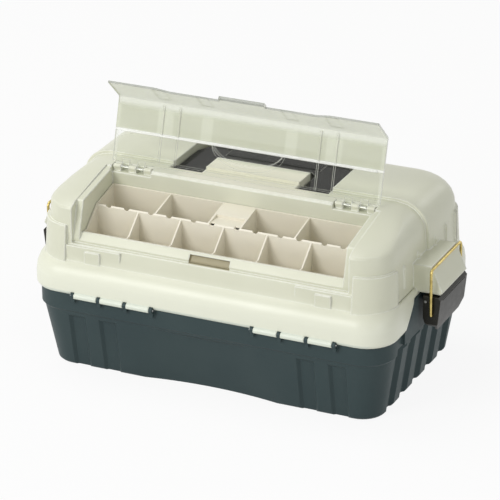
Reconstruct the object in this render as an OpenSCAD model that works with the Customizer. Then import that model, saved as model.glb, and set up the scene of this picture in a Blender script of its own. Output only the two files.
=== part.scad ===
// Two-tray fishing tackle box. The lid swings on the long front edge and lifts two
// cantilever trays, a lure tray sits under a clear cover in the lid's front half, and a
// wire bail latch closes each end.
// Frame: X along the length, -Y towards the hinge side (the front), +Z up, and the
// origin is the middle of the footprint. Drawn with the lid closed, the latches shut,
// the clear cover open and the handle folded down.

/* [Case] */
// Length over the lid flange
case_l = 413; // [395:1:430]
// Depth over the lid flange
case_d = 252; // [246:1:262]
// Height of the closed box
case_h = 204; // [200:1:212]
// Height of the seam between base and lid
seam_h = 90; // [86:1:94]
// Plan radius of the flange corners
corner_r = 35; // [28:1:42]
// Wall of the base and the lid
wall = 2.6; // [2.0:0.1:3.2]
// Gap at the seam
seam_gap = 0.4; // [0.3:0.1:0.8]

/* [Base] */
// How far the foot stands in from the flange at each end
foot_in_l = 17; // [13:0.5:24]
// How far the foot stands in from the flange on the front and rear
foot_in_d = 18; // [14:0.5:22]
// Plan radius of the foot corners
foot_r = 26; // [20:1:30]
// Height of the smooth rim band under the seam
rim_h = 23; // [18:1:26]
// How far the rim stands back from the flange
rim_inset = 4; // [3.5:0.5:5]
// How far the fluted wall steps in under the rim
rim_step = 3; // [2:0.5:4]
// Width of one recessed flute
flute_w = 21; // [16:1:24]
// Spacing of the flutes
flute_pitch = 35.7; // [30:0.1:36]
// Depth of the flutes on the front and rear
flute_depth = 3.4; // [2:0.2:4]
// Depth of the flutes on the two ends
end_flute_depth = 4.4; // [3:0.2:5]
// Gap from the outermost flute to the rounded corner
flute_margin = 3.3; // [2:0.1:6]
// Height of the front and rear flutes' tops
flute_top = 64; // [45:1:66]
// Height of the end flutes' tops, in the rim band
end_flute_top = 76; // [60:1:78]
// Length of the bowed middle of the front and rear walls
bow_l = 176; // [140:1:190]
// Depth of the bow at the foot
bow_depth = 9; // [6:0.5:12]
// Depth of the bow under the rim
bow_top_depth = 4.5; // [2:0.5:6]
// Slope of the roof over the bow
bow_roof = 40; // [20:1:50]

/* [Front hinge] */
// Radius of the hinge knuckles
knuckle_r = 3.2; // [2.8:0.1:3.6]
// Radius of the hinge pins
hinge_pin_r = 1.5; // [1.2:0.1:1.8]
// Distance from the middle to the first hinge lug
lug_x = 57.8; // [50:0.1:70]
// Spacing of the four lugs of one hinge
lug_pitch = 30.7; // [26:0.1:33]
// Thickness of a hinge lug
lug_t = 3.5; // [3:0.1:5]
// Side gap between the pieces of a hinge
hinge_gap = 0.4; // [0.3:0.1:0.8]
// Radial play of a pin in its knuckle
pin_play = 0.05; // [0.03:0.01:0.09]

/* [Lid] */
// Height of the rounded flange band
flange_h = 34; // [30:1:38]
// How far the lid wall stands in from the flange at each end
lid_in_l = 4.5; // [3:0.5:8]
// How far the lid wall stands in from the flange on the front and rear
lid_in_d = 12; // [10:0.5:15]
// How far the wall leans in on the front and rear up to the crown
lid_draft = 6; // [4:0.5:8]
// Radius of the shoulders over the two ends
shoulder_r = 33; // [26:1:38]
// Radius of the rear top edge
crown_r = 25; // [18:1:30]
// Place of the crease between front housing and rear dome
crease_y = 4; // [0:0.5:8]
// How far the front housing steps in at its ends
housing_step = 3; // [2:0.5:4]

/* [Lure opening] */
// Distance from the flange's ends to the lure opening
opening_in = 56.1; // [54:0.1:60]
// Width of the ledge that the clear cover lies on
ledge_w = 7.5; // [6:0.5:9]
// Height of the rail in front of the lure tray
rail_h = 153.7; // [150:0.1:156]
// Distance from the front of the flange to the rail's inner edge
rail_in = 26.4; // [25:0.1:28]
// Depth of the lure tray's front row
front_row_d = 28.6; // [24:0.2:34]
// Number of front compartments
front_bins = 6; // [4:1:8]
// Wall of the lure tray
tray_wall = 1.6; // [1.2:0.1:2.0]

/* [Clear cover] */
// Thickness of the clear cover
cover_t = 2.2; // [1.8:0.1:2.6]
// How far the cover reaches past the lure opening at each end
cover_lap = 4.1; // [3:0.1:4.8]
// Place of the cover's hinge axis
cover_hinge_y = -21; // [-23:0.5:-19]
// Height of the cover's hinge axis
cover_hinge_z = 198.8; // [197:0.1:200]
// Distance from the front of the flange to the cover's fold
fold_in = 32.4; // [30:0.1:34]
// Slope of the closed top panel
cover_slope = 10; // [8:0.5:12]
// Angle that the front panel folds down by
cover_fold = 62.7; // [60:0.1:66]
// Angle from closed to open
cover_open = 116.6; // [100:0.1:117]
// Radius of the cover's knuckles
cover_knuckle_r = 2.9; // [2.6:0.1:3.2]
// Radius of the cover's hinge pins
cover_pin_r = 1.2; // [1:0.1:1.4]
// Length of one hinge of the cover
cover_hinge_l = 45; // [36:1:50]
// Length of the finger tab
tab_l = 52; // [40:1:60]
// How far the middle of the free edge stands back from its ends
edge_step = 4.5; // [3:0.5:6]
// Depth of the finger recess in the rail
recess_depth = 2.6; // [1.5:0.1:2.6]

/* [Handle] */
// Length over the handle's arms
handle_l = 181; // [170:1:184]
// Width of one arm
arm_w = 35; // [26:1:38]
// Place of the handle's pivot
handle_y = 3; // [2:0.5:5]
// Height of the handle's pivot
handle_z = 191; // [190:0.5:192]
// Reach from pivot to the outer edge of the grip
handle_reach = 82; // [76:1:84]
// Width of the grip
grip_w = 34; // [28:1:38]
// Thickness of the handle
handle_t = 10; // [8:0.5:11]
// Radius of the handle's pins
handle_pin_r = 2; // [1.6:0.1:2.4]

/* [Latches] */
// Radius of the bail wire
wire_r = 1.5; // [1.2:0.1:1.6]
// Distance from the flange's end to the bail's crossbar
bail_out = 15.2; // [14:0.1:16.5]
// Height of the crossbar
bail_z = 150.6; // [149:0.1:152]
// Distance from the lever's side to the middle of the bail's leg
bail_gap = 4; // [3:0.5:7]
// Height of the bail's pivots in the lever
bail_pivot_z = 99; // [96:0.5:101]
// Distance from the flange's end to the lever's pivot
lever_out = 7.5; // [6.5:0.5:8.5]
// Height of the lever's pivot
lever_z = 113; // [111:0.5:114]
// Width of the lever
lever_w = 76; // [70:1:77]
// Height of the lever
lever_h = 39; // [34:1:42]
// Lean of the catch's face from upright
catch_lean = 24; // [20:1:26]
// Width of the catch on the lid
catch_w = 68; // [56:1:70]

/* [Trays] */
// Distance from the flange's ends to the cantilever trays
tray_in = 32.5; // [31.5:0.5:38]
// How much shallower the upper tray is than the lower
tray_step = 38; // [32:1:46]
// Height of the upper tray
upper_h = 50; // [40:1:52]
// Depth of the lower tray
lower_d = 143; // [130:1:146]
// Height of the lower tray
lower_h = 44; // [36:1:46]
// Height of the lower tray's floor
lower_z = 51; // [46:1:52]
// Gap between the stacked trays
stack_gap = 3; // [2:0.5:4]
// Distance from the rear of the flange to the rear wall of both trays
tray_in_rear = 21; // [20:0.5:26]

/* [Linkage] */
// Run of the arms, from base pivot to upper tray pivot, towards the rear
arm_run = 80; // [76:1:82]
// Rise of the arms
arm_rise = 40; // [38:1:42]
// Distance from the lower tray's front to its front rivets
pin_in_front = 18; // [16:0.5:24]
// Distance from the trays' rear wall to the upper tray's rear rivets
pin_in_rear = 20; // [16:0.5:26]
// Height of both base pivots
arm_pivot_z = 70; // [69:0.5:72]
// Width of the swing arms
arm_bar_w = 12; // [9:0.5:13]
// Thickness of the swing arms
arm_bar_t = 1.5; // [1.2:0.1:1.6]
// Radius of the rivets
rivet_r = 2; // [1.6:0.1:2.4]

/* [Hidden] */

$fn = 48;
far = 600;
corner_steps = 8;

graphite = [0.27, 0.31, 0.33];
stone = [0.84, 0.85, 0.78];
ivory = [0.87, 0.84, 0.78];
clear = [0.82, 0.84, 0.78, 0.45];
black = [0.13, 0.13, 0.14];
brass = [0.79, 0.64, 0.28];
steel = [0.62, 0.63, 0.64];

half_l = case_l / 2;
half_d = case_d / 2;
hinge_y = -half_d;
lid_z = seam_h + seam_gap;
crease_z = seam_h - rim_h;
foot_l = case_l - 2 * foot_in_l;
foot_d = case_d - 2 * foot_in_d;
rail_y = hinge_y + rail_in;
bail_x = half_l + bail_out;
lever_x = half_l + lever_out;
tray_l = case_l - 2 * tray_in;
tray_rear_y = half_d - tray_in_rear;
upper_d = lower_d - tray_step;
arm_front_y = tray_rear_y - lower_d + pin_in_front - arm_run / 2;
arm_rear_y = tray_rear_y - pin_in_rear - arm_run;
arm_base_ys = [arm_front_y, arm_rear_y];

// One level of a moulded shell: [height, half length, front, rear, front and rear radius].
function level(z, hx, yf, yr, rf, rr) = [z, hx, yf, yr, rf, rr];
function inset(v, w, z) =
    level(z, v[1] - w, v[2] + w, v[3] - w, max(v[4] - w, 1), max(v[5] - w, 1));
function corner(cx, cy, r, a) =
    [for (i = [0 : corner_steps]) let (t = a + 90 * i / corner_steps) [cx + r * cos(t), cy + r * sin(t)]];
function outline(v) = concat(
    corner(v[1] - v[5], v[3] - v[5], v[5], 0),
    corner(-v[1] + v[5], v[3] - v[5], v[5], 90),
    corner(-v[1] + v[4], v[2] + v[4], v[4], 180),
    corner(v[1] - v[4], v[2] + v[4], v[4], 270));

// A solid through a stack of rounded rectangles, lowest first.
module loft(levels) {
    n = 4 * (corner_steps + 1);
    top = (len(levels) - 1) * n;
    sides = [for (k = [0 : len(levels) - 2], i = [0 : n - 1])
        let (a = k * n + i, b = k * n + (i + 1) % n)
        each [[a, a + n, b + n], [a, b + n, b]]];
    polyhedron(
        points = [for (v = levels, p = outline(v)) [p[0], p[1], v[0]]],
        faces = concat(sides,
            [[for (i = [0 : n - 1]) i]],
            [[for (i = [0 : n - 1]) top + n - 1 - i]]));
}

// A rod along X from x0 to x1.
module rod_x(x0, x1, y, z, r) {
    translate([x0, y, z]) rotate([0, 90, 0]) cylinder(h = x1 - x0, r = r);
}

// A rod along Y from y0 to y1.
module rod_y(y0, y1, x, z, r) {
    translate([x, y0, z]) rotate([-90, 0, 0]) cylinder(h = y1 - y0, r = r);
}

// An outline in Y and Z, drawn out along X from x0 to x1.
module along_x(x0, x1) {
    translate([x0, 0, 0]) rotate([90, 0, 90]) linear_extrude(x1 - x0) children();
}

// An outline in X and Z, drawn out along Y from y0 to y1.
module along_y(y0, y1) {
    translate([0, y1, 0]) rotate([90, 0, 0]) linear_extrude(y1 - y0) children();
}

module block(x0, x1, y0, y1, z0, z1) {
    translate([x0, y0, z0]) cube([x1 - x0, y1 - y0, z1 - z0]);
}

// Draws its children on the left end when side is -1.
module on_side(side) {
    if (side > 0) children();
    else mirror([1, 0, 0]) children();
}

// ---------- base ----------

rim_l = half_l - rim_inset;
rim_d = half_d - rim_inset;
wall_top_l = rim_l - rim_step;
wall_top_d = rim_d - rim_step;
base_levels = [
    level(0, foot_l / 2 - 2, -foot_d / 2 + 2, foot_d / 2 - 2, foot_r - 2, foot_r - 2),
    level(2, foot_l / 2, -foot_d / 2, foot_d / 2, foot_r, foot_r),
    level(crease_z, wall_top_l, -wall_top_d, wall_top_d, corner_r - 5, corner_r - 5),
    level(crease_z + 3, rim_l, -rim_d, rim_d, corner_r - 2, corner_r - 2),
    level(seam_h, rim_l, -rim_d, rim_d, corner_r - 2, corner_r - 2)];
base_cavity_levels = [
    inset(base_levels[1], wall + 1, wall),
    inset(base_levels[1], wall, wall + 2),
    inset(base_levels[2], wall, crease_z),
    inset(base_levels[3], wall, crease_z + 3),
    inset(base_levels[4], wall, seam_h + 1)];
tilt_d = atan((wall_top_d - foot_d / 2) / crease_z);
tilt_l = atan((wall_top_l - foot_l / 2) / crease_z);
end_flutes = [-2 : 2];
flute_x = foot_l / 2 - foot_r - flute_margin - flute_w / 2 - flute_pitch;
flute_side = 1.1;

// One flute with slanted sides and a sloping top end, grown by the wall where it stands
// inside the cavity.
module flute(top, depth, grow) {
    w = flute_w / 2 + grow;
    out = 12;
    intersection() {
        translate([0, 0, -far / 10]) linear_extrude(top + grow + far / 10 + out)
            polygon([[-w - out * flute_side, -out], [-w + depth * flute_side, depth + grow],
                [w - depth * flute_side, depth + grow], [w + out * flute_side, -out]]);
        translate([0, -out, top + out + grow]) rotate([-45, 0, 0])
            block(-far / 10, far / 10, -far, far, -far, 0);
    }
}

// The flutes and bows of all four walls.
module wall_relief(grow) {
    bow_r = (pow(bow_l / 2, 2) + pow(bow_depth, 2)) / (2 * bow_depth);
    bow_tilt = atan((wall_top_d - foot_d / 2 + bow_depth - bow_top_depth) / crease_z);
    for (turn = [0, 180]) rotate([0, 0, turn]) {
        for (x = [flute_x, flute_x + flute_pitch], side = [-1, 1])
            translate([side * x, -foot_d / 2, 0]) rotate([tilt_d, 0, 0])
                flute(flute_top, flute_depth, grow);
        intersection() {
            translate([0, -foot_d / 2 + bow_depth, 0]) rotate([bow_tilt, 0, 0])
                translate([0, -bow_r, -far / 10]) cylinder(h = far / 3, r = bow_r + grow, $fn = 180);
            translate([0, -wall_top_d, crease_z - 1]) rotate([-bow_roof, 0, 0])
                block(-bow_l, bow_l, -far, far, -far, grow);
        }
    }
    for (turn = [90, 270], i = end_flutes) rotate([0, 0, turn])
        translate([i * flute_pitch, -foot_l / 2, 0]) rotate([tilt_l, 0, 0])
            flute(end_flute_top, end_flute_depth, grow);
}

lug_xs = [for (i = [0 : 3]) lug_x + i * lug_pitch];
tower_top = lever_z + 5;
tower_low = end_flute_top + 1.5;
tower_half = catch_w / 2 + 10;

// The tower that carries a latch, grown by a clearance where the lid makes room for it.
module latch_tower(grow) {
    slope = tower_top - seam_h;
    foot = tower_half + slope + grow;
    along_x(grow > 0 ? rim_l - 20 : rim_l - wall, grow > 0 ? far : half_l - 0.8)
        polygon([[-foot, tower_low], [-foot, seam_h + grow], [-tower_half - grow, tower_top + grow],
            [tower_half + grow, tower_top + grow], [foot, seam_h + grow], [foot, tower_low]]);
}

lever_lug_w = 6;
lever_lug_y = 20;
boss_x = tray_l / 2 + 6;

module base_shell() {
    color(graphite) difference() {
        union() {
            difference() {
                union() {
                    difference() {
                        loft(base_levels);
                        difference() {
                            loft(base_cavity_levels);
                            wall_relief(wall);
                        }
                    }
                    for (side = [-1, 1], y = arm_base_ys) on_side(side)
                        rod_x(boss_x, wall_top_l - wall / 2, y, arm_pivot_z, 6);
                }
                wall_relief(0);
            }
            for (side = [-1, 1]) on_side(side) {
                for (x = lug_xs) {
                    rod_x(x - lug_t / 2, x + lug_t / 2, hinge_y, seam_h, knuckle_r);
                    block(x - lug_t / 2, x + lug_t / 2, hinge_y, -rim_d + wall / 2, seam_h - 8, seam_h);
                }
                latch_tower(0);
                for (y = [-lever_lug_y, lever_lug_y]) {
                    rod_y(y - lever_lug_w / 2, y + lever_lug_w / 2, lever_x, lever_z, 4.5);
                    block(half_l - 2, lever_x, y - lever_lug_w / 2, y + lever_lug_w / 2,
                        lever_z - 4.5, lever_z + 4.5);
                }
            }
        }
        for (side = [-1, 1]) on_side(side) {
            rod_x(lug_xs[0] - lug_pitch, lug_xs[3] + lug_pitch, hinge_y, seam_h, hinge_pin_r + pin_play);
            rod_y(-lever_w / 2, lever_w / 2, lever_x, lever_z, hinge_pin_r + pin_play);
            for (y = arm_base_ys)
                rod_x(boss_x - 1, boss_x + 9, y, arm_pivot_z, rivet_r + pin_play);
        }
    }
}

module hinge_pin(side) {
    color(steel) on_side(side)
        rod_x(lug_xs[0] - lug_t / 2 - 1, lug_xs[3] + lug_t / 2 + 1, hinge_y, seam_h, hinge_pin_r);
}

// ---------- lid ----------

flange_z = lid_z + flange_h;
wall_l = half_l - lid_in_l;
wall_d = half_d - lid_in_d;
crown_d = wall_d - lid_draft;
bead = 0.5;
dome_top = case_h - bead;
dome_z = dome_top - shoulder_r;
housing_l = wall_l - housing_step;
housing_top = cover_hinge_z + 2.2;
fold_y = hinge_y + fold_in;
cover_top = (cover_hinge_y - fold_y) / cos(cover_slope);
fold_z = cover_hinge_z - cover_top * sin(cover_slope);
brow_y = -crown_d;
brow_z = fold_z - 6;

// The flange band, rounded out from the seam and drawn in to the wall.
function flange_levels(depth_top) = [
    level(lid_z, half_l - 2, -half_d + 2, half_d - 2, corner_r - 2, corner_r - 2),
    level(lid_z + 3, half_l, -half_d, half_d, corner_r, corner_r),
    level(lid_z + 0.42 * flange_h, half_l, -half_d, half_d, corner_r, corner_r),
    level(lid_z + 0.68 * flange_h, half_l - 0.6, -half_d + 2, half_d - 2, corner_r, corner_r),
    level(lid_z + 0.88 * flange_h, half_l - 2, -half_d + 6.5, half_d - 6.5, corner_r, corner_r),
    level(flange_z, wall_l, -depth_top, depth_top, corner_r, corner_r)];

// Shoulder of a crown: the half length and the rear at height z, both on quarter rounds.
function shoulder_x(hx, top, z) = z < top - shoulder_r ? hx
    : hx - shoulder_r + sqrt(pow(shoulder_r, 2) - pow(z - top + shoulder_r, 2));
function crown_y(top, z) = z < top - crown_r ? crown_d
    : crown_d - crown_r + sqrt(pow(crown_r, 2) - pow(z - top + crown_r, 2));

crown_steps = [0.3, 0.5, 0.66, 0.78, 0.87, 0.93, 0.97, 1.0];
rear_levels = concat(
    [level(flange_z - 12, wall_l, crease_y, wall_d, 2, corner_r),
        level(dome_z, wall_l - 1.5, crease_y, crown_d, 2, corner_r)],
    [for (s = crown_steps) let (z = dome_z + s * shoulder_r)
        level(z, shoulder_x(wall_l - 1.5, dome_top, z), crease_y, crown_y(dome_top, z),
            2, corner_r - s * s * 8)]);

// The front housing slopes up from the brow over the lure tray to the cover's hinge.
brow_steps = [0.0, 0.12, 0.3, 0.5, 0.7, 0.88, 1.0];
brow_run = 10;
spine_front = 4;
function brow_front(s) = s < 0.3 ? brow_y + brow_run * pow(s / 0.3, 2)
    : brow_y + brow_run + (cover_hinge_y - spine_front - brow_y - brow_run) * (s - 0.3) / 0.7;
housing_levels = concat(
    [level(flange_z - 12, housing_l, -wall_d, crease_y + 6, corner_r, 2),
        level(flange_z, housing_l, -wall_d, crease_y + 6, corner_r, 2),
        level(flange_z + 20, housing_l - 0.5, -wall_d + lid_draft - 1, crease_y + 6, corner_r, 2)],
    [for (s = brow_steps) let (z = brow_z + s * (housing_top - brow_z))
        level(z, shoulder_x(housing_l - 1, housing_top, z), brow_front(s), crease_y + 6,
            corner_r - 8 * s, 2)]);

function hollow(levels) = [for (i = [0 : len(levels) - 1])
    inset(levels[i], wall, levels[i][0] - wall * max(0, i - len(levels) + 7) / 6)];

module lid_solid() {
    loft(flange_levels(wall_d));
    loft(rear_levels);
    loft(housing_levels);
    crease_bead();
}

// The raised line round the rear dome's front edge, over the top and down both ends.
module crease_bead() {
    intersection() {
        loft([for (v = rear_levels)
            inset(v, -bead, v[0] + bead * max(0, v[0] - dome_z) / shoulder_r)]);
        block(-far, far, crease_y - bead * 0.8, crease_y + 1.4, flange_z + 2, far);
    }
}

// Everything inside the lid's walls.
module lid_cavity() {
    flange = flange_levels(wall_d);
    loft(concat([inset(flange[0], wall, lid_z - 1)],
        [for (i = [1 : 5]) inset(flange[i], wall, flange[i][0] - 0.2)]));
    for (levels = [rear_levels, housing_levels])
        loft(concat([inset(levels[0], wall, flange_z - 14)], hollow([for (i = [1 : 9]) levels[i]])));
    block(-housing_l + shoulder_r, housing_l - shoulder_r, crease_y - 10, crease_y + 20,
        flange_z, housing_top - wall - 1);
}

well_l = half_l - opening_in;
spine_w = 5.8;
well_front = rail_y + 0.2;
well_rear = cover_hinge_y - spine_w;
tray_floor_z = 108;

// The well that the lure tray drops into.
module lure_well() {
    block(-well_l - wall, well_l + wall, well_front - wall, well_rear + wall, tray_floor_z - 3, case_h);
}

module lure_opening() {
    block(-well_l, well_l, well_front, well_rear, tray_floor_z, far);
    block(-well_l + 4, well_l - 4, well_front + 4, well_rear - 4, tray_floor_z - far / 10, far);
    along_x(-well_l, well_l)
        polygon([[-far, rail_low], [-crown_d, rail_low], [rail_y - 0.5, rail_h], [well_front + 1, rail_h],
            [well_front + 1, far], [-far, far]]);
}

ledge_l = well_l + ledge_w;
ledge_gap = 0.4;
rail_low = rail_h - 11;

// The sloping rail and the ledges that the closed cover lies on, grown for their walls.
module cover_ledge(grow) {
    out = cover_lift - ledge_gap - grow;
    start = (spine_front - grow - out * sin(cover_slope)) / cos(cover_slope);
    foot = [-crown_d + wall, rail_low - grow];
    line = cover_line(out, start, (fold_z - rail_low - 6) / sin(front_slope));
    along_x(-ledge_l - grow, ledge_l + grow)
        polygon(concat([[line[0][0], far]], line, [foot, [-far, foot[1]], [-far, far]]));
}

handle_pocket_l = handle_l / 2 + 1.5;
arm_inner = handle_l / 2 - arm_w;
pocket_rear = handle_y + handle_reach + 3;
pocket_front = handle_y - 10;
pocket_z = 179;
grip_front = handle_y + handle_reach - grip_w;
finger_room = 18;

// The recess that the folded handle lies in, grown for its walls.
module handle_pocket(grow) {
    z0 = pocket_z - grow;
    end = handle_pocket_l + grow;
    block(-end, end, grip_front - finger_room - grow, pocket_rear + grow, z0, far);
    for (side = [-1, 1]) on_side(side)
        block(arm_inner - 1.5 - grow, end, pocket_front - grow, grip_front + grow, z0, far);
}

cover_ends = [well_l + 0.6 - cover_hinge_l, well_l + 0.6];
cover_knuckles = 5;
cover_step = (cover_ends[1] - cover_ends[0]) / cover_knuckles;

// Room for the cover's knuckles in the spine, grown for its walls.
module cover_hinge_trough(grow) {
    for (side = [-1, 1]) on_side(side)
        block(cover_ends[0] - 1 - grow, cover_ends[1] + 1 + grow, well_rear - 3,
            cover_hinge_y + 4.5 + grow, cover_hinge_z - 4.5 - grow, far);
}

catch_top = bail_z + 1.4;
catch_low = lever_z + 8.5;
catch_chamfer = 2.5;

// The sloping catch that the bail's crossbar pulls against.
module catch_block() {
    seat = wire_r + 0.3;
    sx = bail_x - seat * cos(catch_lean);
    sz = bail_z - seat * sin(catch_lean);
    nose_z = catch_low + catch_chamfer;
    nose = sx + (sz - nose_z) * tan(catch_lean);
    along_y(-catch_w / 2, catch_w / 2)
        polygon([[wall_l - 5, catch_low], [nose - catch_chamfer, catch_low], [nose, nose_z],
            [sx - (catch_top - sz) * tan(catch_lean), catch_top], [wall_l - 5, catch_top]]);
}

pad_x = 132;
pad_proud = 2;
corner_pad_x = 163.5;
front_pad_top = 162;
rear_pad_top = 168;
section_pad_x = 100;

// The raised panels on the lid's walls: one round each corner, one low strip beside it,
// and a small upright boss on the strip.
module lid_pads() {
    wrap = [for (i = [0 : 2]) inset(housing_levels[i], -pad_proud, housing_levels[i][0])];
    rear_wrap = [for (v = wrap) level(v[0], v[1] + housing_step - 0.5, -v[3], -v[2], v[5], v[4])];
    for (side = [-1, 1]) on_side(side) {
        intersection() {
            loft([wrap[0], wrap[1], inset(wrap[2], 0, front_pad_top)]);
            block(corner_pad_x, far, -far, -wall_d + corner_r, 0, far);
        }
        intersection() {
            loft([rear_wrap[0], rear_wrap[1], inset(rear_wrap[2], 0, rear_pad_top)]);
            block(corner_pad_x, far, wall_d - corner_r, far, 0, far);
        }
        for (turn = [0, 1]) mirror([0, turn, 0]) {
            block(section_pad_x, corner_pad_x + 1, wall_d - 8, wall_d - 1.2, flange_z - 12, rail_low - 1.5);
            block(pad_x - 9, pad_x + 9, wall_d - 10, wall_d + 0.8, flange_z - 12, flange_z + 13);
        }
    }
}

// The upright ribs on the end walls: [place along the wall, low end, high end].
end_ribs = [[-57, 134, 159], [-19, 150, 159], [20, 150, 162], [51, 137, 164], [77, 137, 167]];
rib_r = 2.6;
rib_proud = 1.7;
lid_lug_y = hinge_y + arm_run;
lid_lug_z = seam_h + arm_rise;

// One upright rib with a tapered top end.
module end_rib(h) {
    cylinder(h = h - rib_r, r = rib_r);
    translate([0, 0, h - rib_r]) cylinder(h = rib_r, r1 = rib_r, r2 = rib_r - rib_proud);
}

module lid_body() {
    difference() {
        union() {
            lid_solid();
            lid_pads();
        }
        difference() {
            lid_cavity();
            lure_well();
            cover_ledge(wall);
            block(-ledge_l, ledge_l, -wall_d + 4, well_front, rail_h - 14, rail_h + 1);
            handle_pocket(wall);
            cover_hinge_trough(wall);
        }
    }
    for (side = [-1, 1]) on_side(side) {
        for (i = [0 : 2]) {
            x0 = lug_xs[i] + lug_t / 2 + hinge_gap;
            x1 = lug_xs[i + 1] - lug_t / 2 - hinge_gap;
            rod_x(x0, x1, hinge_y, seam_h, knuckle_r);
            block(x0, x1, hinge_y, hinge_y + 5, lid_z, lid_z + 4);
        }
        catch_block();
        for (rib = end_ribs)
            translate([(rib[0] < crease_y ? housing_l : wall_l) - rib_r - 0.8 + rib_proud, rib[0], rib[1]])
                end_rib(rib[2] - rib[1]);
        rod_x(boss_x + 2, housing_l - wall / 2, lid_lug_y, lid_lug_z, 6);
    }
}

// The finger recess behind the cover's tab, sunk square to the rail's slope.
module tab_recess() {
    run = [rail_y - 0.5 + crown_d, rail_h - rail_low];
    translate([0, -crown_d, rail_low]) rotate([atan2(run[1], run[0]), 0, 0])
        block(-tab_l / 2 + 3, tab_l / 2 - 3, 2.4, norm(run) - 3.5, -recess_depth, far / 10);
}

module lid_cuts() {
    cover_ledge(0);
    tab_recess();
    cover_hinge_trough(0);
    lure_opening();
    handle_pocket(0);
    for (side = [-1, 1]) on_side(side) {
        latch_tower(0.8);
        for (x = lug_xs)
            rod_x(x - lug_t / 2 - hinge_gap, x + lug_t / 2 + hinge_gap, hinge_y, seam_h, knuckle_r + 0.5);
        rod_x(lug_xs[0] - lug_pitch, lug_xs[3] + lug_pitch, hinge_y, seam_h, hinge_pin_r + pin_play);
        rod_x(boss_x + 1, boss_x + 11, lid_lug_y, lid_lug_z, rivet_r + pin_play);
        rod_x(arm_inner - 8, handle_pocket_l + 6, handle_y, handle_z, handle_pin_r + pin_play);
    }
}

module lid_shell() {
    color(stone) difference() {
        union() {
            difference() {
                lid_body();
                lid_cuts();
            }
            for (side = [-1, 1], i = [0, 2, 4]) on_side(side) cover_knuckle(i, true);
        }
        for (side = [-1, 1]) on_side(side)
            rod_x(cover_ends[0] - 1, cover_ends[1] + 1, cover_hinge_y, cover_hinge_z, cover_pin_r + pin_play);
    }
}

// One of the five knuckles of a cover hinge, with a foot down to the spine when it is the lid's.
function knuckle_x(i) = [cover_ends[0] + i * cover_step + hinge_gap / 2,
    cover_ends[0] + (i + 1) * cover_step - hinge_gap / 2];
module cover_knuckle(i, footed) {
    x = knuckle_x(i);
    rod_x(x[0], x[1], cover_hinge_y, cover_hinge_z, cover_knuckle_r);
    if (footed)
        block(x[0], x[1], cover_hinge_y - 2, cover_hinge_y + 2, cover_hinge_z - 5.5, cover_hinge_z);
}

// ---------- lure tray ----------

tray_x = well_l - 0.6;
tray_front = well_front + 0.6;
tray_back = well_rear - 0.6;
mid_wall_y = tray_front + front_row_d + 2 * tray_wall;
mid_wall_z = 173;
block_half = 19;
rear_split = 80;

// The tray's top follows the cover: low in front, over the middle wall, high at the back.
module lure_tray_top() {
    polygon([[tray_front, tray_floor_z], [tray_front, rail_h - 0.7], [tray_front + 7, rail_h - 0.7],
        [mid_wall_y, mid_wall_z], [tray_back, fold_z - 5], [tray_back, tray_floor_z]]);
}

module lure_tray() {
    inner_x = tray_x - tray_wall;
    pitch = (2 * inner_x + tray_wall) / front_bins;
    color(ivory) difference() {
        along_x(-tray_x, tray_x) lure_tray_top();
        for (i = [0 : front_bins - 1]) {
            x0 = -inner_x + i * pitch;
            block(x0, x0 + pitch - tray_wall, tray_front + tray_wall, mid_wall_y - tray_wall,
                tray_floor_z + tray_wall, far);
            for (k = [0.28, 0.72])
                rod_y(mid_wall_y - 4, mid_wall_y + 3, x0 + k * (pitch - tray_wall), mid_wall_z + 0.5, 3.2);
        }
        for (side = [-1, 1]) on_side(side) {
            block(block_half, rear_split - tray_wall / 2, mid_wall_y, tray_back - tray_wall,
                tray_floor_z + tray_wall, far);
            block(rear_split + tray_wall / 2, inner_x, mid_wall_y, tray_back - tray_wall,
                tray_floor_z + tray_wall, far);
        }
        block(-block_half + 2, block_half - 2, mid_wall_y - far, mid_wall_y + 17, mid_wall_z, far);
        block(-block_half + tray_wall, block_half - tray_wall, mid_wall_y + tray_wall, tray_back - tray_wall,
            tray_floor_z - far, mid_wall_z - tray_wall);
    }
}

// ---------- clear cover ----------

cover_lift = 1.2;
cover_start = 5;
bend_steps = 6;
front_slope = cover_slope + cover_fold;
cover_front = (fold_z - rail_h) / sin(front_slope);
edge_middle = [84, 100];
cover_bands = [[42, 55], [92, 106]];
cover_cross_ribs = [81, 100];

// Directions along a panel and out of it, at the given slope, as [y, z].
function panel_along(slope) = [-cos(slope), -sin(slope)];
function panel_out(slope) = [-sin(slope), cos(slope)];

// A line along the closed cover at the given distance outside its hinge axis, from start on
// the top panel round the fold to reach on the front panel.
function cover_line(out, start, reach) = concat(
    [[cover_hinge_y, cover_hinge_z] + start * panel_along(cover_slope) + out * panel_out(cover_slope)],
    out > 0 ? [for (i = [0 : bend_steps])
        [fold_y, fold_z] + out * panel_out(cover_slope + i * cover_fold / bend_steps)]
        : [[fold_y, fold_z] + out / cos(cover_fold / 2) * panel_out(cover_slope + cover_fold / 2)],
    [[fold_y, fold_z] + reach * panel_along(front_slope) + out * panel_out(front_slope)]);
function backwards(v) = [for (i = [len(v) - 1 : -1 : 0]) v[i]];

// Puts Y along a panel away from the hinge, and Z out of its outer face.
module on_panel(y, z, slope) {
    translate([0, y, z]) rotate([slope, 0, 0]) mirror([0, 1, 0])
        translate([0, 0, cover_lift + cover_t]) children();
}

module ellipse(rx, ry) {
    polygon([for (i = [0 : 47]) [rx * cos(7.5 * i), ry * sin(7.5 * i)]]);
}

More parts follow.
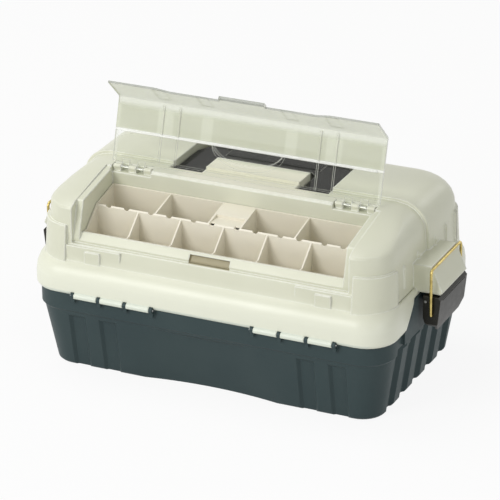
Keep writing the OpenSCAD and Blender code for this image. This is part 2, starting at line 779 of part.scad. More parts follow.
module cover_closed() {
    half = well_l + cover_lap;
    foot_y = cover_start + 3;
    difference() {
        union() {
            along_x(-half, half)
                polygon(concat(cover_line(cover_lift + cover_t, cover_start, cover_front),
                    backwards(cover_line(cover_lift, cover_start, cover_front))));
            on_panel(fold_y, fold_z, front_slope) {
                for (side = [-1, 1], band = cover_bands) on_side(side)
                    block(band[0], band[1], 3, cover_front - edge_step - 3, -0.2, 0.7);
            }
            on_panel(cover_hinge_y, cover_hinge_z, cover_slope) {
                block(-half + 1, half - 1, 9, 11, -0.2, 1.2);
                translate([0, cover_top / 2 + 2, -0.2]) linear_extrude(1.4) ellipse(42, 23);
                block(-well_l + 3, well_l - 3, 38, 40, -cover_t - 1.2, -cover_t + 0.2);
                for (side = [-1, 1], x = cover_cross_ribs) on_side(side)
                    block(x - 1, x + 1, 10, cover_top - 2, -cover_t - 1.2, -cover_t + 0.2);
            }
            for (side = [-1, 1], i = [1, 3]) on_side(side) {
                cover_knuckle(i, false);
                on_panel(cover_hinge_y, cover_hinge_z, cover_slope)
                    block(knuckle_x(i)[0], knuckle_x(i)[1], 0, foot_y, -cover_t - 1.6, 0);
            }
        }
        for (side = [-1, 1]) on_side(side)
            rod_x(cover_ends[0] - 1, cover_ends[1] + 1, cover_hinge_y, cover_hinge_z, cover_pin_r + pin_play);
        on_panel(fold_y, fold_z, front_slope) translate([0, 0, -far / 20]) linear_extrude(far / 10)
            difference() {
                polygon([[-edge_middle[1], cover_front + 1], [-edge_middle[1], cover_front],
                    [-edge_middle[0], cover_front - edge_step], [edge_middle[0], cover_front - edge_step],
                    [edge_middle[1], cover_front], [edge_middle[1], cover_front + 1]]);
                translate([-tab_l / 2, cover_front - far]) square([tab_l, 2 * far]);
            }
    }
    on_panel(fold_y, fold_z, front_slope)
        block(-tab_l / 2, tab_l / 2, cover_front - edge_step - 1.5, cover_front + 1, -cover_t / 2, 1.8);
}

module clear_cover() {
    color(clear) translate([0, cover_hinge_y, cover_hinge_z]) rotate([-cover_open, 0, 0])
        translate([0, -cover_hinge_y, -cover_hinge_z]) cover_closed();
}

module cover_pin(side) {
    color(steel) on_side(side)
        rod_x(cover_ends[0], cover_ends[1], cover_hinge_y, cover_hinge_z, cover_pin_r);
}

// ---------- handle ----------

handle_corner = [14, 26];
handle_fillet = 8;
handle_eye_r = 8;
grip_r = 7;

module handle_outline() {
    outer = handle_l / 2;
    reach = handle_reach;
    inner = reach - grip_w;
    cut = handle_corner;
    polygon([[-outer, 0], [-outer, reach - cut[1]], [-outer + cut[0], reach], [outer - cut[0], reach],
        [outer, reach - cut[1]], [outer, 0], [arm_inner, 0], [arm_inner, inner - handle_fillet],
        [arm_inner - handle_fillet, inner], [-arm_inner + handle_fillet, inner],
        [-arm_inner, inner - handle_fillet], [-arm_inner, 0]]);
}

module carry_handle() {
    grip_mid = handle_y + handle_reach - grip_w / 2;
    color(black) difference() {
        union() {
            translate([0, handle_y, handle_z - handle_t / 2]) linear_extrude(handle_t) handle_outline();
            for (side = [-1, 1]) on_side(side)
                rod_x(arm_inner, handle_l / 2, handle_y, handle_z, handle_eye_r);
            hull() for (y = [-1, 1])
                rod_x(-arm_inner, arm_inner, grip_mid + y * (grip_w / 2 - grip_r - 1), handle_z - 1, grip_r);
        }
        for (side = [-1, 1]) on_side(side)
            rod_x(arm_inner - 1, handle_l / 2 + 1, handle_y, handle_z, handle_pin_r + pin_play);
    }
}

module handle_pin(side) {
    color(steel) on_side(side)
        rod_x(arm_inner - 1.3 - wall, handle_pocket_l + wall - 0.2, handle_y, handle_z, handle_pin_r);
}

// ---------- latches ----------

lever_top = lever_z + 6.5;
lever_low = lever_top - lever_h;
lever_wall = 3;
lever_face = [16.8, 14, 11];
lever_corner = 9;
bail_w = lever_w + 2 * bail_gap;

// The lever seen from its side: its face leans in to the low end, in steps.
module lever_profile(wall_in, top, back, low, back_low) {
    face = [for (x = lever_face) lever_x + x - wall_in];
    polygon([[back, top], [face[0] - 2.5, top], [face[0], top - 3], [face[1], lever_low + 10],
        [face[2], low], [lever_x + 3, low], [back, back_low]]);
}

module latch_lever(side) {
    slot_z = lever_z + 2.5;
    color(graphite) on_side(side) difference() {
        along_y(-lever_w / 2, lever_w / 2)
            lever_profile(0, lever_top, lever_x - 2.5, lever_low, lever_low + 14);
        along_y(-lever_w / 2 + lever_wall, lever_w / 2 - lever_wall)
            lever_profile(lever_wall, lever_top - 2, lever_x - 9, lever_low - 1, lever_low - 1);
        for (turn = [0, 1]) mirror([0, turn, 0]) along_x(lever_x - 9, lever_x + 20)
            polygon([[lever_w / 2 - lever_corner, lever_low - 1], [lever_w / 2 + 1, lever_low + lever_corner],
                [lever_w / 2 + 1, lever_low - 1]]);
        for (y = [-lever_lug_y, lever_lug_y])
            block(lever_x - 9, lever_x + 6, y - lever_lug_w / 2 - 0.5, y + lever_lug_w / 2 + 0.5,
                lever_z - 5, lever_top + 1);
        block(lever_x + lever_face[0] - 1, lever_x + 20, -lever_w / 2 + 6, lever_w / 2 - 6,
            slot_z - 0.7, slot_z + 0.7);
        rod_y(-lever_w, lever_w, lever_x, lever_z, hinge_pin_r + pin_play);
        rod_y(-lever_w, lever_w, bail_x, bail_pivot_z, wire_r + pin_play);
    }
}

module lever_pin(side) {
    color(steel) on_side(side)
        rod_y(-lever_w / 2 + 0.5, lever_w / 2 - 0.5, lever_x, lever_z, hinge_pin_r);
}

// One bend of the bail wire, a quarter turn from the leg to the bar or to the end.
module wire_bend(bend_r) {
    rotate_extrude(angle = 90, $fn = 64) translate([bend_r, 0]) circle(wire_r, $fn = 32);
}

// The bail is one wire: crossbar, two legs, and two ends turned in to the lever.
module latch_bail(side) {
    bend = 4;
    half = bail_w / 2;
    leg = bail_z - bail_pivot_z - 2 * bend;
    color(brass) on_side(side) translate([bail_x, 0, 0]) {
        rod_y(-half + bend, half - bend, 0, bail_z, wire_r);
        for (turn = [0, 180]) rotate([0, 0, turn]) {
            translate([0, half, bail_pivot_z + bend]) cylinder(h = leg, r = wire_r);
            translate([0, half - bend, bail_z - bend]) rotate([90, 0, 90]) wire_bend(bend);
            translate([0, half - bend, bail_pivot_z + bend]) rotate([0, 90, 0]) wire_bend(bend);
            rod_y(lever_w / 2 - lever_wall + 0.5, half - bend, 0, bail_pivot_z, wire_r);
        }
    }
}

// ---------- cantilever trays ----------

tray_corner_r = 12;
upper_z = lower_z + lower_h + stack_gap;
upper_columns = 3;
lower_columns = 2;
divider_t = 1.2;
row_share = 0.42;
slot_play = 0.15;

module rounded_rectangle(hx, y0, y1, r) {
    translate([-hx + r, y0]) square([2 * (hx - r), y1 - y0]);
    translate([-hx, y0 + r]) square([2 * hx, y1 - y0 - 2 * r]);
    for (x = [-hx + r, hx - r], y = [y0 + r, y1 - r]) translate([x, y]) circle(r);
}

// The clear inside of one row of a tray: [low y, high y].
function tray_rows(depth) = let (y0 = tray_rear_y - depth, mid = y0 + row_share * depth)
    [[y0 + tray_wall, mid - tray_wall / 2], [mid + tray_wall / 2, tray_rear_y - tray_wall]];
function divider_x(columns, i) = (column_x(columns, i) + column_x(columns, i + 1)) / 2;
function column_x(columns, i) = -tray_l / 2 + i * tray_l / columns;

// A loose divider across the front row, or its slots when grown by their play.
module divider_plate(row, x, play, z0, z1) {
    reach = tray_wall / 3 - slot_play + play;
    block(x - divider_t / 2 - play, x + divider_t / 2 + play, row[0] - reach, row[1] + reach, z0, z1);
}

module cantilever_tray(depth, z0, height, columns, pins) {
    y0 = tray_rear_y - depth;
    color(ivory) difference() {
        translate([0, 0, z0]) linear_extrude(height)
            rounded_rectangle(tray_l / 2, y0, tray_rear_y, tray_corner_r);
        intersection() {
            translate([0, 0, z0 + tray_wall]) linear_extrude(height)
                rounded_rectangle(tray_l / 2 - tray_wall, y0 + tray_wall, tray_rear_y - tray_wall,
                    tray_corner_r - tray_wall);
            for (row = tray_rows(depth), i = [0 : columns - 1])
                block(column_x(columns, i) + tray_wall / 2, column_x(columns, i + 1) - tray_wall / 2,
                    row[0], row[1], z0, z0 + height + 1);
        }
        for (i = [0 : columns - 1]) divider_plate(tray_rows(depth)[0], divider_x(columns, i),
            slot_play, z0 + tray_wall, z0 + height + 1);
        for (pin = pins) rod_x(-tray_l, tray_l, pin[0], pin[1], rivet_r);
    }
}

module tray_dividers(depth, z0, height, columns) {
    color(ivory) for (i = [0 : columns - 1])
        divider_plate(tray_rows(depth)[0], divider_x(columns, i), 0, z0 + tray_wall, z0 + height - 4);
}

// ---------- linkage ----------

arm_pivots = [for (y = arm_base_ys) [y, arm_pivot_z]];
function along_arm(pivot, share) = [pivot[0] + share * arm_run, pivot[1] + share * arm_rise];
lower_pins = [for (pivot = arm_pivots) along_arm(pivot, 0.5)];
upper_pins = [for (pivot = arm_pivots) along_arm(pivot, 1)];
arm_x = tray_l / 2 + 4;
link_x = arm_x + arm_bar_t + 0.5;
rivet_head_r = 3.6;
rivet_head_t = 1;
rivet_play = 0.06;
shank_in = 0.7;

// A flat bar with round ends and a hole at each of its pins, from x to x + arm_bar_t.
module flat_bar(x, pins) {
    first = pins[0];
    last = pins[len(pins) - 1];
    run = [last[0] - first[0], last[1] - first[1]];
    difference() {
        union() {
            for (pin = [first, last]) rod_x(x, x + arm_bar_t, pin[0], pin[1], arm_bar_w / 2);
            translate([x, first[0], first[1]]) rotate([atan2(run[1], run[0]), 0, 0])
                translate([0, 0, shank_in - arm_bar_w / 2])
                    cube([arm_bar_t, norm(run), arm_bar_w - 2 * shank_in]);
        }
        for (pin = pins) rod_x(x - 1, x + arm_bar_t + 1, pin[0], pin[1], rivet_r + rivet_play);
    }
}

module swing_arm(side, pivot) {
    color(steel) on_side(side)
        flat_bar(arm_x, [pivot, along_arm(pivot, 0.5), along_arm(pivot, 1)]);
}

module lid_link(side) {
    color(steel) on_side(side)
        flat_bar(link_x, [[lid_lug_y, lid_lug_z], upper_pins[0]]);
}

// A rivet through a tray's end wall: inner head, shaft, spacing collar and outer head.
module tray_rivet(pin, reach) {
    inside = tray_l / 2 - tray_wall;
    rod_x(inside - rivet_head_t, inside, pin[0], pin[1], rivet_head_r);
    rod_x(inside - rivet_head_t, reach + 0.4 + rivet_head_t, pin[0], pin[1], rivet_r);
    rod_x(tray_l / 2, arm_x - 0.4, pin[0], pin[1], rivet_head_r);
    rod_x(reach + 0.4, reach + 0.4 + rivet_head_t, pin[0], pin[1], rivet_head_r);
}

module lower_tray_rivets() {
    color(steel) for (side = [-1, 1], pin = lower_pins) on_side(side) tray_rivet(pin, arm_x + arm_bar_t);
}

module upper_tray_rivets() {
    color(steel) for (side = [-1, 1]) on_side(side) {
        tray_rivet(upper_pins[0], link_x + arm_bar_t);
        tray_rivet(upper_pins[1], arm_x + arm_bar_t);
    }
}

module base_rivets() {
    color(steel) for (side = [-1, 1], pin = arm_pivots) on_side(side) {
        rod_x(arm_x - 0.4 - rivet_head_t, boss_x + 8, pin[0], pin[1], rivet_r);
        rod_x(arm_x - 0.4 - rivet_head_t, arm_x - 0.4, pin[0], pin[1], rivet_head_r);
    }
}

module lid_rivets() {
    color(steel) for (side = [-1, 1]) on_side(side) {
        rod_x(link_x - 0.4 - rivet_head_t, boss_x + 10, lid_lug_y, lid_lug_z, rivet_r);
        rod_x(link_x - 0.4 - rivet_head_t, link_x - 0.4, lid_lug_y, lid_lug_z, rivet_head_r);
    }
}

base_shell();
hinge_pin(-1);  // hinge_pin_left
hinge_pin(1);  // hinge_pin_right
lid_shell();
lure_tray();
clear_cover();
cover_pin(-1);  // cover_pin_left
cover_pin(1);  // cover_pin_right
carry_handle();
handle_pin(-1);  // handle_pin_left
handle_pin(1);  // handle_pin_right
latch_lever(-1);  // latch_lever_left
latch_lever(1);  // latch_lever_right
lever_pin(-1);  // lever_pin_left
lever_pin(1);  // lever_pin_right
latch_bail(-1);  // latch_bail_left
latch_bail(1);  // latch_bail_right
cantilever_tray(lower_d, lower_z, lower_h, lower_columns, lower_pins);  // lower_tray
cantilever_tray(upper_d, upper_z, upper_h, upper_columns, upper_pins);  // upper_tray
tray_dividers(lower_d, lower_z, lower_h, lower_columns);  // lower_tray_dividers
tray_dividers(upper_d, upper_z, upper_h, upper_columns);  // upper_tray_dividers
swing_arm(-1, arm_pivots[0]);  // front_arm_left
swing_arm(1, arm_pivots[0]);  // front_arm_right
swing_arm(-1, arm_pivots[1]);  // rear_arm_left
swing_arm(1, arm_pivots[1]);  // rear_arm_right
lid_link(-1);  // lid_link_left
lid_link(1);  // lid_link_right
base_rivets();
lower_tray_rivets();
upper_tray_rivets();
lid_rivets();
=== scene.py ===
"""Looks of the two-tray fishing tackle box: materials, softened edges, lights and camera."""

import math

import bpy
from mathutils import Matrix, Vector

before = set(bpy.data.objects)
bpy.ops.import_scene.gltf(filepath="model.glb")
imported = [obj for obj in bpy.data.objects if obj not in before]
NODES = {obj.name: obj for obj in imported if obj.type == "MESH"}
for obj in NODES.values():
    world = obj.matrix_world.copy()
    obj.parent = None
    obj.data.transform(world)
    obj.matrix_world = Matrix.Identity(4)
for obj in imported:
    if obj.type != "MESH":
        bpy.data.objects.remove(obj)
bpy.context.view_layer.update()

SCENE = bpy.context.scene
MM = 0.001

# ---------- places on the lid, in millimetres ----------

# The finger recess in the rail, where shade is painted: half its width, its heights, and how deep its
# faces lie behind the rail's slope, whose inward direction and one point, in Y and Z, come first.
RAIL_INWARD = (0.812, -0.584)
RAIL_POINT = (-108.0, 142.7)
RAIL_FACE = RAIL_INWARD[0] * RAIL_POINT[0] + RAIL_INWARD[1] * RAIL_POINT[1]
RECESS_DEPTHS = (RAIL_FACE + 0.7, RAIL_FACE + 3.5)
RECESS_HALF = 23.4
RECESS_HEIGHTS = (141.0, 153.0)
RECESS_BACK = (-95.0, -94.0)

# The platform between the handle's arms, whose top gets painted light.
PLATFORM_HALF = 76.0
PLATFORM_REACH = (-24.0, 26.0)
PLATFORM_RISE = (190.0, 196.0)

# The flange's painted highlight fades out upwards. The hinge knuckles hang below it, in front of the
# base.
FLANGE_HIGHLIGHT_FADE = (108.0, 131.0)
KNUCKLE_HEIGHTS = (60.0, 94.0)
KNUCKLE_BACK = (-122.0, -121.0)

# ---------- places on the open clear cover, in millimetres ----------

# The long rib, above which the panels are frosted, and the fold where they end.
RIB = (235.4, 237.9)
FROST_START = (RIB[1] - 0.4, RIB[1] + 0.4)
FOLD = (260.0, 265.0)

# Lighter bands and the strip at each end, in distance from the middle.
COVER_BANDS = ((42.0, 55.0), (88.0, 106.0), (150.5, 160.0))
END_STRIP = (150.0, 151.5)

# The oval pad: the height of its middle, and half its width and height.
OVAL_MIDDLE = 240.0
OVAL_HALF = (42.0, 22.0)

# The way that the open cover's free edge faces.
FREE_EDGE_NORMAL = (0.0, -0.72, 0.693)

# ---------- camera, at the photograph's angle ----------

CAMERA_PLACE = Vector((1.27076, -2.74302, 1.46520))
CAMERA_RIGHT = Vector((0.90866, 0.41744, -0.00845))
CAMERA_UP = Vector((-0.16292, 0.37312, 0.91336))
CAMERA_FORWARD = Vector((-0.38443, 0.82856, -0.40706))
CAMERA_LENS = 223.7
CAMERA_SENSOR = 36.0
CAMERA_REACH = 60.0


def make_camera():
    data = bpy.data.cameras.new("camera")
    data.lens = CAMERA_LENS
    data.sensor_width = CAMERA_SENSOR
    data.clip_end = CAMERA_REACH
    cam = bpy.data.objects.new("camera", data)
    SCENE.collection.objects.link(cam)
    turn = Matrix((CAMERA_RIGHT, CAMERA_UP, -CAMERA_FORWARD)).transposed()
    cam.matrix_world = Matrix.Translation(CAMERA_PLACE) @ turn.to_4x4()
    SCENE.camera = cam


# ---------- node helpers ----------


def new_material(name):
    mat = bpy.data.materials.new(name)
    mat.use_nodes = True
    mat.node_tree.nodes.clear()
    return mat, mat.node_tree


def put(tree, kind, inputs=None, **props):
    """Adds a node; inputs maps a socket's name or number to a value or to another socket."""
    n = tree.nodes.new(kind)
    for key, value in props.items():
        setattr(n, key, value)
    for key, value in (inputs or {}).items():
        if isinstance(value, bpy.types.NodeSocket):
            tree.links.new(value, n.inputs[key])
        else:
            n.inputs[key].default_value = value
    return n


def maths(tree, operation, a, b=0.0, clamp=False):
    return put(tree, "ShaderNodeMath", {0: a, 1: b}, operation=operation, use_clamp=clamp).outputs[0]


def times(tree, a, b):
    return maths(tree, "MULTIPLY", a, b)


def largest(tree, first, *others):
    for other in others:
        first = maths(tree, "MAXIMUM", first, other)
    return first


def dot(tree, a, b):
    n = put(tree, "ShaderNodeVectorMath", {0: a, 1: b}, operation="DOT_PRODUCT")
    return n.outputs["Value"]


def axes(tree, vector):
    """The X, Y and Z sockets of a vector."""
    return put(tree, "ShaderNodeSeparateXYZ", {0: vector}).outputs


def remap(tree, value, low, high, to_low, to_high):
    n = put(tree, "ShaderNodeMapRange", {0: value, 1: low, 2: high, 3: to_low, 4: to_high})
    return n.outputs[0]


def ramp(tree, place, span, to_low=0.0, to_high=1.0):
    """Runs from to_low to to_high while place, in metres, crosses span, in millimetres."""
    return remap(tree, place, span[0] * MM, span[1] * MM, to_low, to_high)


def window(tree, value, low, high, soft):
    """1 between low and high, and 0 outside them, with soft edges."""
    rise = remap(tree, value, low - soft, low + soft, 0.0, 1.0)
    return times(tree, rise, remap(tree, value, high - soft, high + soft, 1.0, 0.0))


def inside(tree, place, span, soft):
    """1 where place, in metres, lies in span, in millimetres, and 0 outside it."""
    return window(tree, place, span[0] * MM, span[1] * MM, soft * MM)


def nearer(tree, place, limit, soft):
    """1 where place, in metres, is below limit, in millimetres, and 0 above it."""
    return ramp(tree, place, (limit - soft, limit + soft), 1.0, 0.0)


def noise(tree, where, scale, detail):
    n = put(tree, "ShaderNodeTexNoise", {"Vector": where, "Scale": scale, "Detail": detail})
    return n.outputs["Fac"]


def bump(tree, height, strength, distance, normal=None):
    """A bumped normal; distance is in millimetres."""
    inputs = {"Height": height, "Strength": strength, "Distance": distance * MM}
    if normal is not None:
        inputs["Normal"] = normal
    return put(tree, "ShaderNodeBump", inputs).outputs[0]


def rounded(tree, radius, samples):
    """The normal with its edges rounded, and how nearly it agrees with the flat one."""
    bevel = put(tree, "ShaderNodeBevel", {"Radius": radius * MM}, samples=samples).outputs[0]
    return bevel, dot(tree, bevel, put(tree, "ShaderNodeNewGeometry").outputs["Normal"])


def mix_colour(tree, fac, a, b):
    n = put(tree, "ShaderNodeMix", {0: fac, 6: a, 7: b}, data_type="RGBA")
    return n.outputs[2]


def srgb(r, g, b):
    """A colour written as 0 to 255 in sRGB, as the linear RGBA that sockets take."""

    def one(c):
        c = c / 255
        return c / 12.92 if c <= 0.04045 else ((c + 0.055) / 1.055) ** 2.4

    return (one(r), one(g), one(b), 1.0)


def finish_material(tree, shader):
    put(tree, "ShaderNodeOutputMaterial", {"Surface": shader})


# ---------- materials ----------


def plastic(name, colour, shade, edge, rough, grain, radius, ior=1.45, edge_scuff_and_highlight=0.5, painted_light_and_shade=None):
    """Moulded plastic: faint colour mottle, fine cast grain, slow waviness, and lighter edges that are
    partly scuffing and partly a painted highlight.

    radius is that of the rounded edges, in millimetres, and the argument after ior sets how strong the
    edges' lighter tone is.
    """
    mat, t = new_material(name)
    where = put(t, "ShaderNodeTexCoord").outputs["Object"]
    mottle = noise(t, where, scale=14.0, detail=3.0)
    fine = noise(t, where, scale=900.0, detail=2.0)
    slow = noise(t, where, scale=32.0, detail=1.0)
    scuffs = noise(t, where, scale=160.0, detail=4.0)

    normal, agreement = rounded(t, radius, samples=8)
    rim = remap(t, agreement, 0.998, 0.86, 0.0, 1.0)
    # Lighter edges: scuffing mixed with a painted highlight along every rounded edge and crease.
    scuffed_and_highlit = times(t, rim, remap(t, scuffs, 0.35, 0.7, 0.6, 1.0))
    base = mix_colour(t, remap(t, mottle, 0.3, 0.7, 0.0, 1.0), colour, shade)
    tone = mix_colour(t, times(t, scuffed_and_highlit, edge_scuff_and_highlight), base, edge)
    if painted_light_and_shade:
        tone = painted_light_and_shade(t, where, tone)

    blotches = maths(t, "ADD", scuffs, mottle)
    wave = bump(t, slow, strength=0.25, distance=0.6, normal=normal)
    shader = put(t, "ShaderNodeBsdfPrincipled", {
        "Base Color": tone,
        "Roughness": remap(t, blotches, 0.6, 1.4, rough - 0.05, rough + 0.06),
        "Normal": bump(t, fine, strength=grain, distance=0.08, normal=wave),
        "IOR": ior,
    })
    finish_material(t, shader.outputs[0])
    return mat


def metal(name, colour, dark, rough):
    """Drawn metal: a fine brushed tone and slightly tarnished patches."""
    mat, t = new_material(name)
    where = put(t, "ShaderNodeTexCoord").outputs["Object"]
    patches = noise(t, where, scale=220.0, detail=4.0)
    fine = noise(t, where, scale=2400.0, detail=2.0)
    shader = put(t, "ShaderNodeBsdfPrincipled", {
        "Base Color": mix_colour(t, remap(t, patches, 0.4, 0.75, 0.0, 0.6), colour, dark),
        "Roughness": remap(t, patches, 0.3, 0.7, rough - 0.04, rough + 0.1),
        "Metallic": 1.0,
        "Normal": bump(t, fine, strength=0.15, distance=0.05),
    })
    finish_material(t, shader.outputs[0])
    return mat


def paint_lid_light_and_shade(tree, where, tone):
    """Painted shade in the finger recess, painted light on the platform, a painted highlight on the
    flange, and a paler hinge-knuckle tone that is partly painted light.
    """
    x, y, z = axes(tree, where)
    across = maths(tree, "ABSOLUTE", x)

    # Painted shade: the finger recess is darkened to a brownish grey, as if in shadow.
    depth = dot(tree, where, (0.0, *RAIL_INWARD))
    recess = times(tree, nearer(tree, across, RECESS_HALF, 0.2), inside(tree, z, RECESS_HEIGHTS, 0.3))
    recess = times(tree, recess, ramp(tree, y, RECESS_BACK, 1.0, 0.0))
    recess = times(tree, recess, inside(tree, depth, RECESS_DEPTHS, 0.4))
    tone = mix_colour(tree, recess, tone, srgb(155, 146, 112))

    # Painted light: the platform is paler towards its top, as if lit from above.
    platform = times(tree, nearer(tree, across, PLATFORM_HALF, 6.0), inside(tree, y, PLATFORM_REACH, 3.0))
    platform = times(tree, platform, ramp(tree, z, PLATFORM_RISE, 0.0, 0.7))
    tone = mix_colour(tree, platform, tone, srgb(240, 236, 218))

    # Painted highlight: the flange's upper round is paler, fading out upwards.
    tone = mix_colour(tree, ramp(tree, z, FLANGE_HIGHLIGHT_FADE, 0.85, 0.0), tone, srgb(232, 234, 217))

    # Knuckles: a paler, more silvery tone, partly their own colour and partly painted light against the
    # shade under the flange.
    knuckle = times(tree, inside(tree, z, KNUCKLE_HEIGHTS, 0.3), ramp(tree, y, KNUCKLE_BACK, 1.0, 0.0))
    return mix_colour(tree, knuckle, tone, srgb(222, 228, 214))


def oval_pad(tree, x, z):
    """The cover's oval pad: a faintly hazy field with a lighter outline."""
    off_x = maths(tree, "DIVIDE", x, OVAL_HALF[0] * MM)
    off_z = maths(tree, "DIVIDE", maths(tree, "SUBTRACT", z, OVAL_MIDDLE * MM), OVAL_HALF[1] * MM)
    off = maths(tree, "SQRT", maths(tree, "ADD", times(tree, off_x, off_x), times(tree, off_z, off_z)))
    field = remap(tree, off, 0.96, 1.0, 0.03, 0.0)
    outline = window(tree, off, 0.97, 1.0, 0.012)
    return times(tree, maths(tree, "ADD", field, outline), 0.3)


def clear_plastic(name):
    """Clear cover: see-through next to its hinge, milky moulded panels and lighter bands beyond."""
    mat, t = new_material(name)
    coordinates = put(t, "ShaderNodeTexCoord").outputs
    where = coordinates["Object"]
    outward = coordinates["Normal"]
    x, _, z = axes(t, where)
    across = maths(t, "ABSOLUTE", x)
    cloud = noise(t, where, scale=30.0, detail=3.0)
    frost_grain = noise(t, where, scale=1500.0, detail=2.0)
    streaks = put(t, "ShaderNodeMapping", {"Vector": where, "Scale": (60.0, 900.0, 900.0)})
    hairlines = noise(t, streaks.outputs[0], scale=1.0, detail=3.0)

    frost = ramp(t, z, FROST_START)
    rib = inside(t, z, RIB, 0.3)
    lip = ramp(t, z, FOLD)
    band = largest(t, *(inside(t, across, span, 1.2) for span in COVER_BANDS))
    end_strip = ramp(t, across, END_STRIP, 0.0, 0.22)

    normal, agreement = rounded(t, 0.9, samples=4)
    # Painted highlights: the rounded edges and the faces that point along X are made whiter and more
    # opaque, with a painted sheen where the cover is seen edge-on. The free edge gets painted grey shade.
    free_edge = remap(t, dot(t, outward, FREE_EDGE_NORMAL), 0.93, 0.98, 0.0, 1.0)
    flank = remap(t, maths(t, "ABSOLUTE", axes(t, outward)[0]), 0.6, 0.9, 0.0, 0.7)
    rim = largest(t, remap(t, agreement, 0.99, 0.75, 0.0, 0.5), flank)
    edge_on = put(t, "ShaderNodeLayerWeight", {"Blend": 0.3}).outputs["Facing"]
    sheen = times(t, maths(t, "POWER", edge_on, 3.0), 0.3)

    milky = maths(t, "SUBTRACT", remap(t, cloud, 0.3, 0.7, 0.74, 0.8), times(t, lip, 0.4))
    faint = remap(t, cloud, 0.3, 0.7, 0.003, 0.01)
    clear = maths(t, "ADD", faint, largest(t, oval_pad(t, x, z), end_strip))
    haze = put(t, "ShaderNodeMix", {0: frost, 2: clear, 3: milky}).outputs[0]
    haze = largest(t, haze, times(t, rib, 0.8), times(t, free_edge, 0.7))
    body = maths(t, "ADD", haze, largest(t, rim, sheen), clamp=True)

    panel = mix_colour(t, largest(t, band, lip), srgb(208, 211, 189), srgb(220, 223, 203))
    tone = mix_colour(t, frost, srgb(236, 238, 228), panel)
    # Near white: a painted highlight on edges and flanks, together with the rib's own frosted tone. Then
    # painted grey shade on the free edge.
    tone = mix_colour(t, largest(t, rim, rib), tone, srgb(250, 251, 246))
    tone = mix_colour(t, free_edge, tone, srgb(160, 163, 154))

    hairy = bump(t, hairlines, strength=0.1, distance=0.05, normal=normal)
    smooth = remap(t, hairlines, 0.3, 0.7, 0.05, 0.14)
    skin = put(t, "ShaderNodeBsdfPrincipled", {
        "Base Color": tone,
        "Roughness": maths(t, "ADD", smooth, times(t, frost, 0.3)),
        "Normal": bump(t, frost_grain, strength=times(t, frost, 0.3), distance=0.05, normal=hairy),
    })
    through = put(t, "ShaderNodeBsdfTransparent", {"Color": (0.985, 0.99, 0.975, 1.0)})
    mixed = put(t, "ShaderNodeMixShader", {0: body, 1: through.outputs[0], 2: skin.outputs[0]})
    finish_material(t, mixed.outputs[0])
    return mat


def make_materials():
    """One material for each of the record's slots, and a paler steel for the cover's pins."""
    return {
        "graphite_plastic": plastic(
            "graphite", srgb(58, 72, 73), srgb(53, 67, 69), edge=srgb(84, 97, 98),
            rough=0.5, grain=0.35, radius=1.2, ior=1.3),
        "black_graphite_plastic": plastic(
            "dark_graphite", srgb(31, 30, 22), srgb(25, 25, 18), edge=srgb(90, 90, 78),
            rough=0.4, grain=0.3, radius=0.8, ior=1.4),
        # The lid's pale, strong edge tone is mostly a painted highlight along its edges and creases.
        "stone_plastic": plastic(
            "stone", srgb(218, 219, 199), srgb(213, 214, 193), edge=srgb(250, 251, 242),
            rough=0.32, grain=0.25, radius=2.6, edge_scuff_and_highlight=0.9, painted_light_and_shade=paint_lid_light_and_shade),
        "ivory_plastic": plastic(
            "ivory", srgb(236, 231, 214), srgb(231, 225, 207), edge=srgb(248, 245, 234),
            rough=0.34, grain=0.2, radius=0.5),
        # The handle's pale edge tone is mostly a painted highlight along its edges.
        "black_plastic": plastic(
            "black", srgb(20, 19, 16), srgb(15, 15, 13), edge=srgb(190, 190, 184),
            rough=0.16, grain=0.15, radius=1.6, ior=1.17, edge_scuff_and_highlight=0.8),
        "clear_plastic": clear_plastic("clear"),
        "brass_wire": metal("brass", srgb(204, 184, 116), srgb(132, 114, 62), rough=0.26),
        "steel": metal("steel", srgb(190, 190, 188), srgb(128, 128, 126), rough=0.3),
        "pale_steel": metal("pale_steel", srgb(236, 236, 230), srgb(216, 216, 210), rough=0.42),
    }


# ---------- softened edges on the CAD nodes ----------

SMOOTH_ANGLE = math.radians(28)
WELD_DISTANCE = 0.01 * MM


def smooth_group():
    """Geometry nodes that join the imported faces and smooth them up to SMOOTH_ANGLE."""
    g = bpy.data.node_groups.new("smooth", "GeometryNodeTree")
    g.interface.new_socket("Geometry", in_out="INPUT", socket_type="NodeSocketGeometry")
    g.interface.new_socket("Geometry", in_out="OUTPUT", socket_type="NodeSocketGeometry")
    start = g.nodes.new("NodeGroupInput")
    merge = put(g, "GeometryNodeMergeByDistance", {0: start.outputs[0], "Distance": WELD_DISTANCE})
    edge = g.nodes.new("GeometryNodeInputMeshEdgeAngle")
    over = g.nodes.new("FunctionNodeCompare")
    over.data_type = "FLOAT"
    over.operation = "GREATER_THAN"
    over.inputs["B"].default_value = SMOOTH_ANGLE
    normal = g.nodes.new("GeometryNodeSetMeshNormal")
    normal.mode = "SHARPNESS"
    normal.inputs["Remove Custom"].default_value = True
    end = g.nodes.new("NodeGroupOutput")
    g.links.new(merge.outputs[0], normal.inputs["Mesh"])
    g.links.new(edge.outputs["Unsigned Angle"], over.inputs["A"])
    g.links.new(over.outputs[0], normal.inputs["Edge Sharpness"])
    g.links.new(normal.outputs[0], end.inputs[0])
    return g


def dress(o, material, group):
    for slot in o.material_slots:
        slot.link = "OBJECT"
        slot.material = material
    o.modifiers.new("smooth", "NODES").node_group = group


# ---------- stage ----------

FLOOR_HALF = 12.0
# How much of the floor is plain white to the rays of seen_ray. The rest takes the shadow.
FLOOR_WHITE = 0.9
# The world's strength as light on the object. It is 1, white, to the rays of seen_ray.
WORLD_LIGHT = 0.42

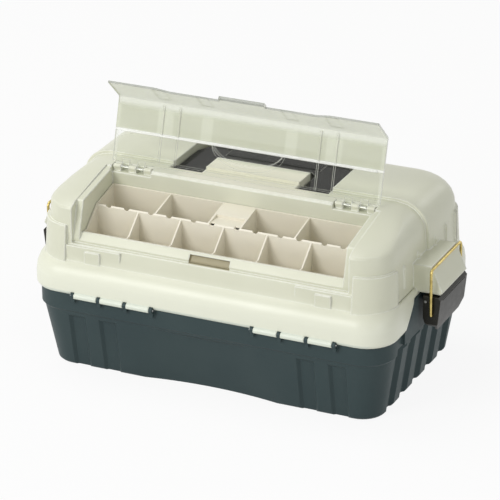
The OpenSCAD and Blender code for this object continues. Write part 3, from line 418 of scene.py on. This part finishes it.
# The lamps' names, places and sizes in metres, and watts. Each is aimed at LIGHT_AIM.
LIGHT_AIM = Vector((0.0, 0.0, 0.1))
LIGHTS = (
    ("key", (-1.3, -2.6, 1.7), (1.6, 1.4), 48.0),
    ("fill", (2.4, -1.2, 1.0), (1.2, 1.2), 9.0),
    ("top", (-1.1, 0.1, 2.5), (1.6, 1.2), 21.0),
    ("rear", (0.93, 2.18, 1.37), (0.5, 0.9), 3.0),
)


def seen_ray(tree):
    """1 for what the camera sees, straight, in gloss or through clear pieces."""
    path = put(tree, "ShaderNodeLightPath").outputs
    return largest(tree, path["Is Camera Ray"], path["Is Glossy Ray"], path["Is Transmission Ray"])


def make_floor():
    mesh = bpy.data.meshes.new("floor")
    r = FLOOR_HALF
    mesh.from_pydata([(-r, -r, 0), (r, -r, 0), (r, r, 0), (-r, r, 0)], [], [(0, 1, 2, 3)])
    floor = bpy.data.objects.new("floor", mesh)
    SCENE.collection.objects.link(floor)
    mat, t = new_material("floor")
    matt = put(t, "ShaderNodeBsdfDiffuse", {"Color": (0.82, 0.82, 0.81, 1.0)})
    white = put(t, "ShaderNodeEmission", {"Color": (1.0, 1.0, 1.0, 1.0), "Strength": 1.0})
    share = times(t, seen_ray(t), FLOOR_WHITE)
    mixed = put(t, "ShaderNodeMixShader", {0: share, 1: matt.outputs[0], 2: white.outputs[0]})
    finish_material(t, mixed.outputs[0])
    mesh.materials.append(mat)


def make_world():
    world = bpy.data.worlds.new("studio")
    world.use_nodes = True
    SCENE.world = world
    t = world.node_tree
    t.nodes.clear()
    strength = remap(t, seen_ray(t), 0.0, 1.0, WORLD_LIGHT, 1.0)
    sky = put(t, "ShaderNodeBackground", {"Color": (1.0, 1.0, 1.0, 1.0), "Strength": strength})
    put(t, "ShaderNodeOutputWorld", {"Surface": sky.outputs[0]})


def make_light(name, place, size, power):
    data = bpy.data.lights.new(name, "AREA")
    data.shape = "RECTANGLE"
    data.size, data.size_y = size
    data.energy = power
    light = bpy.data.objects.new(name, data)
    SCENE.collection.objects.link(light)
    light.location = place
    light.rotation_euler = (LIGHT_AIM - Vector(place)).to_track_quat("-Z", "Y").to_euler()
    light.visible_camera = False


# ---------- assembly ----------

make_camera()
materials = make_materials()
smoothing = smooth_group()

for name, node in NODES.items():
    # An imported node's material is named after its slot.
    slot = "pale_steel" if name.startswith("cover_pin") else node.data.materials[0].name.split(".")[0]
    dress(node, materials[slot], smoothing)
make_floor()
make_world()
for light in LIGHTS:
    make_light(*light)

SCENE.view_settings.view_transform = "Standard"
